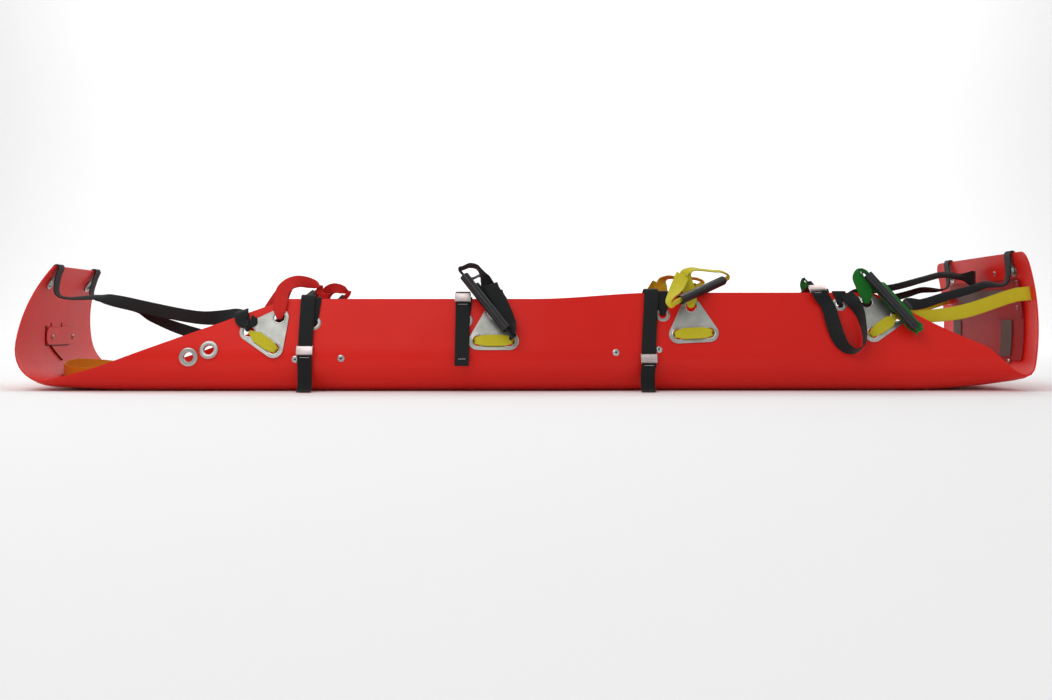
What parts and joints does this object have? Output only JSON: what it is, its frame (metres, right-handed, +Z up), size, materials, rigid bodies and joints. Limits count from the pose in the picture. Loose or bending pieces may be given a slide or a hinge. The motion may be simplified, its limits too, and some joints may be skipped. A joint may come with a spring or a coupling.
{
  "type": "roll-up rescue stretcher",
  "caption": "Flexible red plastic sheet strapped into a trough, with carry handles, cross straps with cam buckles and a lifting bridle.",
  "frame": {"origin": "centre of the underside of the flat floor, on the centre line, where the floor rests on the ground", "axes": "+Z up, +X towards the head end, -Y the near side and +Y the far side"},
  "size_m": [2.2022, 0.6014, 0.3034],
  "materials": {
    "sheet_red": "satin gloss polyethylene sheet",
    "board_red": "dull dark red board",
    "plate_steel": "brushed and pressed",
    "eyelet_steel": "rolled",
    "buckle_steel": "satin",
    "web_black": "woven polyester webbing",
    "web_red": "woven polyester webbing",
    "web_yellow": "woven polyester webbing",
    "web_green": "woven polyester webbing",
    "grip_plastic": "smooth dark tube"
  },
  "bodies": {
    "stretcher": {"sheet": "sheet_red", "head_board": "board_red", "plate_1_near": "plate_steel", "plate_1_far": "plate_steel", "plate_2_near": "plate_steel", "plate_2_far": "plate_steel", "plate_3_near": "plate_steel", "plate_3_far": "plate_steel", "plate_4_near": "plate_steel", "plate_4_far": "plate_steel", "strap_eyelet_1_near": "eyelet_steel", "strap_eyelet_1_far": "eyelet_steel", "strap_eyelet_2_near": "eyelet_steel", "strap_eyelet_2_far": "eyelet_steel", "strap_eyelet_3_near": "eyelet_steel", "strap_eyelet_3_far": "eyelet_steel", "strap_eyelet_4_near": "eyelet_steel", "strap_eyelet_4_far": "eyelet_steel", "foot_corner_eyelet_near": "eyelet_steel", "foot_corner_eyelet_far": "eyelet_steel", "head_corner_eyelet_near": "eyelet_steel", "head_corner_eyelet_far": "eyelet_steel", "foot_eyelets_near": "eyelet_steel", "foot_eyelets_far": "eyelet_steel", "strap_1": "web_black", "strap_2": "web_black", "strap_3": "web_black", "strap_4": "web_black", "strap_1_anchor": "web_black", "strap_2_anchor": "web_black", "strap_3_anchor": "web_black", "strap_4_anchor": "web_black", "strap_1_buckle": "buckle_steel", "strap_2_buckle": "buckle_steel", "strap_3_buckle": "buckle_steel", "strap_4_buckle": "buckle_steel", "foot_strap": "web_black", "head_strap": "web_black", "lifting_bridle": "web_yellow", "head_harness": "web_black"},
    "handle_1_near": {"handle_1_near": "web_red"},
    "handle_1_grip_near": {"handle_1_grip_near": "grip_plastic"},
    "handle_1_far": {"handle_1_far": "web_red"},
    "handle_1_grip_far": {"handle_1_grip_far": "grip_plastic"},
    "handle_2_near": {"handle_2_near": "web_black"},
    "handle_2_grip_near": {"handle_2_grip_near": "grip_plastic"},
    "handle_2_far": {"handle_2_far": "web_black"},
    "handle_2_grip_far": {"handle_2_grip_far": "grip_plastic"},
    "handle_3_near": {"handle_3_near": "web_yellow"},
    "handle_3_grip_near": {"handle_3_grip_near": "grip_plastic"},
    "handle_3_far": {"handle_3_far": "web_yellow"},
    "handle_3_grip_far": {"handle_3_grip_far": "grip_plastic"},
    "handle_4_near": {"handle_4_near": "web_green"},
    "handle_4_grip_near": {"handle_4_grip_near": "grip_plastic"},
    "handle_4_far": {"handle_4_far": "web_green"},
    "handle_4_grip_far": {"handle_4_grip_far": "grip_plastic"},
    "strap_1_cam": {"strap_1_cam": "buckle_steel"},
    "strap_2_cam": {"strap_2_cam": "buckle_steel"},
    "strap_3_cam": {"strap_3_cam": "buckle_steel"},
    "strap_4_cam": {"strap_4_cam": "buckle_steel"}
  },
  "joints": [
    {"name": "handle_1_near_swing", "type": "hinge", "parent": "stretcher", "child": "handle_1_near", "pos_m": [-0.522, -0.25141, 0.156], "axis": [0, -0.9511, 0.309], "range_deg": [0, 50]},
    {"name": "handle_1_near_grip_turn", "type": "hinge", "parent": "handle_1_near", "child": "handle_1_grip_near", "pos_m": [-0.514, -0.20182, 0.163], "axis": [-0.7428, -0.2069, -0.6367], "continuous": true},
    {"name": "handle_1_far_swing", "type": "hinge", "parent": "stretcher", "child": "handle_1_far", "pos_m": [-0.522, 0.25141, 0.156], "axis": [0, -0.9511, -0.309], "range_deg": [0, 50]},
    {"name": "handle_1_far_grip_turn", "type": "hinge", "parent": "handle_1_far", "child": "handle_1_grip_far", "pos_m": [-0.514, 0.20182, 0.163], "axis": [-0.7428, 0.2069, -0.6367], "continuous": true},
    {"name": "handle_2_near_swing", "type": "hinge", "parent": "stretcher", "child": "handle_2_near", "pos_m": [-0.068, -0.24848, 0.165], "axis": [0, -0.9511, 0.309], "range_deg": [-25, 0]},
    {"name": "handle_2_near_grip_turn", "type": "hinge", "parent": "handle_2_near", "child": "handle_2_grip_near", "pos_m": [-0.086, -0.26915, 0.18875], "axis": [0.604, -0.2463, -0.758], "continuous": true},
    {"name": "handle_2_far_swing", "type": "hinge", "parent": "stretcher", "child": "handle_2_far", "pos_m": [-0.068, 0.24848, 0.165], "axis": [0, -0.9511, -0.309], "range_deg": [-25, 0]},
    {"name": "handle_2_far_grip_turn", "type": "hinge", "parent": "handle_2_far", "child": "handle_2_grip_far", "pos_m": [-0.086, 0.26915, 0.18875], "axis": [0.604, 0.2463, -0.758], "continuous": true},
    {"name": "handle_3_near_swing", "type": "hinge", "parent": "stretcher", "child": "handle_3_near", "pos_m": [0.353, -0.22911, 0.18], "axis": [0, -0.9511, 0.309], "range_deg": [0, 20]},
    {"name": "handle_3_near_grip_turn", "type": "hinge", "parent": "handle_3_near", "child": "handle_3_grip_near", "pos_m": [0.376, -0.23229, 0.2155], "axis": [0.7136, 0.6333, 0.2995], "continuous": true},
    {"name": "handle_3_far_swing", "type": "hinge", "parent": "stretcher", "child": "handle_3_far", "pos_m": [0.353, 0.22911, 0.18], "axis": [0, -0.9511, -0.309], "range_deg": [0, 20]},
    {"name": "handle_3_far_grip_turn", "type": "hinge", "parent": "handle_3_far", "child": "handle_3_grip_far", "pos_m": [0.376, 0.23229, 0.2155], "axis": [0.7136, -0.6333, 0.2995], "continuous": true},
    {"name": "handle_4_near_swing", "type": "hinge", "parent": "stretcher", "child": "handle_4_near", "pos_m": [0.729, -0.22618, 0.189], "axis": [0, -0.9511, 0.309], "range_deg": [-30, 10]},
    {"name": "handle_4_near_grip_turn", "type": "hinge", "parent": "handle_4_near", "child": "handle_4_grip_near", "pos_m": [0.7725, -0.2557, 0.192], "axis": [0.6029, -0.2465, -0.7587], "continuous": true},
    {"name": "handle_4_far_swing", "type": "hinge", "parent": "stretcher", "child": "handle_4_far", "pos_m": [0.729, 0.22618, 0.189], "axis": [0, -0.9511, -0.309], "range_deg": [-30, 10]},
    {"name": "handle_4_far_grip_turn", "type": "hinge", "parent": "handle_4_far", "child": "handle_4_grip_far", "pos_m": [0.7725, 0.2557, 0.192], "axis": [0.6029, 0.2465, -0.7587], "continuous": true},
    {"name": "strap_1_cam_pivot", "type": "hinge", "parent": "stretcher", "child": "strap_1_cam", "pos_m": [-0.463, -0.28252, 0.09454], "axis": [-1, 0, 0], "range_deg": [0, 70]},
    {"name": "strap_2_cam_pivot", "type": "hinge", "parent": "stretcher", "child": "strap_2_cam", "pos_m": [-0.134, -0.24613, 0.20654], "axis": [-1, 0, 0], "range_deg": [0, 70]},
    {"name": "strap_3_cam_pivot", "type": "hinge", "parent": "stretcher", "child": "strap_3_cam", "pos_m": [0.2584, -0.27395, 0.07754], "axis": [-1, 0, 0], "range_deg": [0, 70]},
    {"name": "strap_4_cam_pivot", "type": "hinge", "parent": "stretcher", "child": "strap_4_cam", "pos_m": [0.625, -0.21916, 0.22418], "axis": [-1, 0, 0], "range_deg": [0, 70]}
  ]
}
